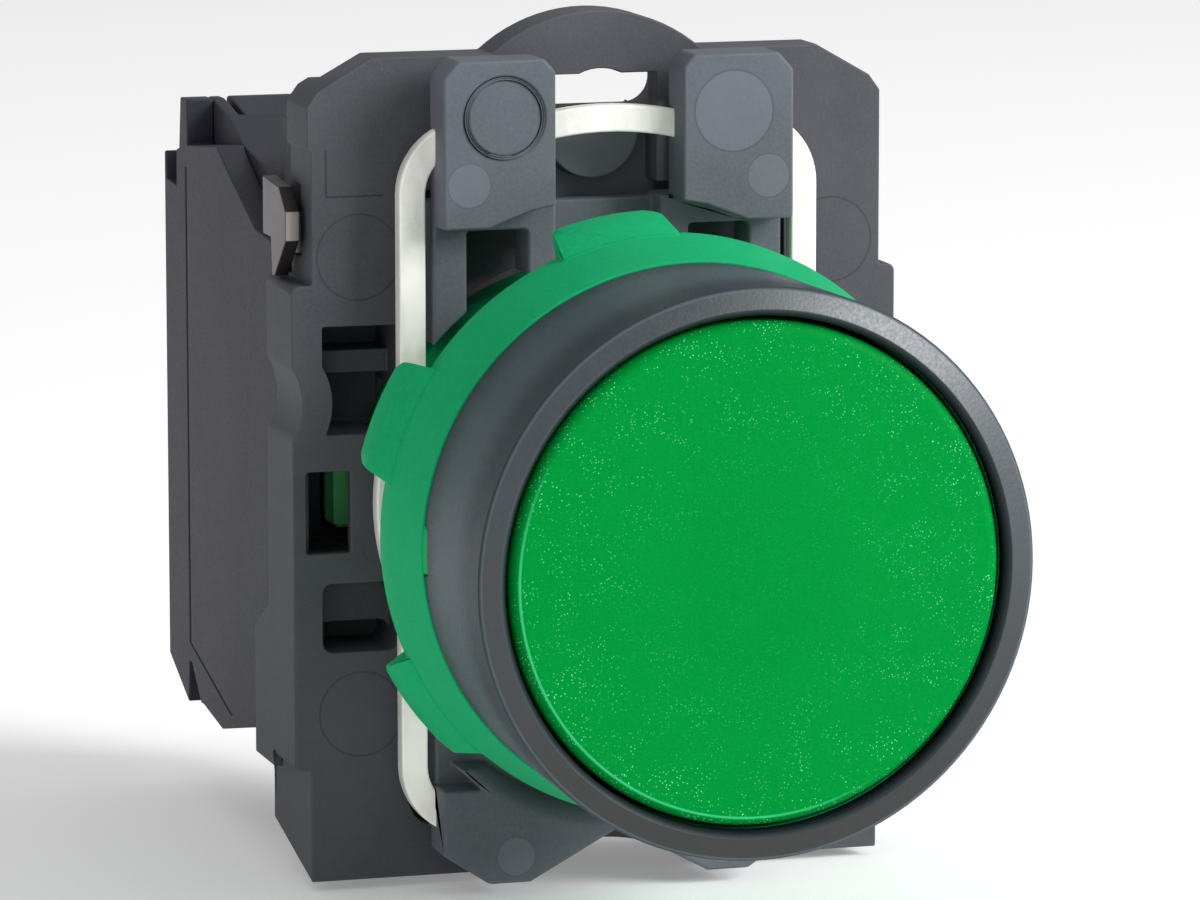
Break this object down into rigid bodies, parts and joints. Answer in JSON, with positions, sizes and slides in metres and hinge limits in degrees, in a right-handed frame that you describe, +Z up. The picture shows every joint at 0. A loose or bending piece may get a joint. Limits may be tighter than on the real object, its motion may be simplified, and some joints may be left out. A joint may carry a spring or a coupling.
{
  "type": "flush push button",
  "caption": "Flush push button for a 22 mm panel hole, with its fixing collar, steel clamp frame and a normally open contact block that closes when the cap is pressed.",
  "frame": {"origin": "on the button's axis, in the front plane of the panel (the flange gasket's back face)", "axes": "+X to the right and +Z up as seen from the front, +Y back through the panel, so the cap faces -Y"},
  "size_m": [0.0302, 0.0545, 0.0418],
  "materials": {
    "dark_plastic": "fine matte grain",
    "grey_plastic": "moulded matte",
    "block_plastic": "moulded matte",
    "green_cap": "satin with fine speckle",
    "green_body": "satin moulded",
    "green_plunger": "satin moulded",
    "pale_plastic": "moulded matte",
    "black_rubber": "matte",
    "nickel_steel": "satin nickel",
    "bare_steel": "bare stamped steel",
    "zinc_steel": "zinc plated",
    "spring_steel": "drawn wire",
    "contact_alloy": "bare copper alloy",
    "silver_tip": "silver"
  },
  "bodies": {
    "frame": {"bezel": "dark_plastic", "head_body": "green_body", "flange_gasket": "black_rubber", "stem_seal": "black_rubber", "collar_body": "grey_plastic", "clamp_nut": "zinc_steel", "block_housing": "block_plastic", "block_cover": "block_plastic", "upper_fixed_contact": "contact_alloy", "lower_fixed_contact": "contact_alloy", "fixed_tips": "silver_tip", "return_spring": "spring_steel", "plunger_spring": "spring_steel"},
    "button": {"push_cap": "green_cap", "pusher": "dark_plastic", "pusher_clip": "pale_plastic"},
    "plunger": {"block_plunger": "green_plunger", "contact_spring": "spring_steel"},
    "bridge": {"contact_bridge": "contact_alloy", "bridge_tips": "silver_tip"},
    "clamp": {"clamp_frame": "nickel_steel", "upper_clamp_shoe": "grey_plastic", "lower_clamp_shoe": "grey_plastic"},
    "screw": {"clamp_screw": "zinc_steel"},
    "lock": {"locking_plate": "bare_steel"},
    "latch": {"block_latch": "block_plastic"},
    "upper_saddle": {"upper_wire_clamp": "zinc_steel"},
    "lower_saddle": {"lower_wire_clamp": "zinc_steel"},
    "upper_screw": {"upper_terminal_screw": "zinc_steel"},
    "lower_screw": {"lower_terminal_screw": "zinc_steel"}
  },
  "joints": [
    {"name": "cap_press", "type": "slide", "parent": "frame", "child": "button", "axis": [0, 1, 0], "range_m": [0, 0.0043], "stiffness_N_per_m": 600, "springref_m": -0.003, "deforming": ["return_spring"]},
    {"name": "plunger_press", "type": "slide", "parent": "frame", "child": "plunger", "axis": [0, 1, 0], "range_m": [0, 0.0043], "deforming": ["plunger_spring"]},
    {"name": "bridge_close", "type": "slide", "parent": "frame", "child": "bridge", "axis": [0, 1, 0], "range_m": [0, 0.0026], "deforming": ["contact_spring"]},
    {"name": "clamp_advance", "type": "slide", "parent": "frame", "child": "clamp", "axis": [0, -1, 0], "range_m": [-0.0012, 0.0038]},
    {"name": "clamp_screw_turn", "type": "hinge", "parent": "clamp", "child": "screw", "pos_m": [0, 0.017, -0.0147], "axis": [0, -1, 0], "range_deg": [-865, 2737]},
    {"name": "lock_lift", "type": "slide", "parent": "frame", "child": "lock", "axis": [0, 0, 1], "range_m": [0, 0.0012]},
    {"name": "latch_release", "type": "slide", "parent": "frame", "child": "latch", "axis": [0, 1, 0], "range_m": [0, 0.0012]},
    {"name": "upper_wire_clamp_slide", "type": "slide", "parent": "frame", "child": "upper_saddle", "axis": [0, -1, 0], "range_m": [0, 0.002]},
    {"name": "upper_terminal_screw_turn", "type": "hinge", "parent": "upper_saddle", "child": "upper_screw", "pos_m": [-0.00955, 0.0329, 0.0102], "axis": [0, -1, 0], "range_deg": [-1, 1441]},
    {"name": "lower_wire_clamp_slide", "type": "slide", "parent": "frame", "child": "lower_saddle", "axis": [0, -1, 0], "range_m": [0, 0.002]},
    {"name": "lower_terminal_screw_turn", "type": "hinge", "parent": "lower_saddle", "child": "lower_screw", "pos_m": [-0.00955, 0.0329, -0.0102], "axis": [0, -1, 0], "range_deg": [-1, 1441]}
  ],
  "couplings": [
    {"joint": "plunger_press", "follows": "cap_press", "ratio": 1},
    {"joint": "bridge_close", "follows": "cap_press", "ratio": 0.6046},
    {"joint": "clamp_screw_turn", "follows": "clamp_advance", "rad_per_m": 12566},
    {"joint": "upper_terminal_screw_turn", "follows": "upper_wire_clamp_slide", "rad_per_m": 12566},
    {"joint": "lower_terminal_screw_turn", "follows": "lower_wire_clamp_slide", "rad_per_m": 12566}
  ]
}
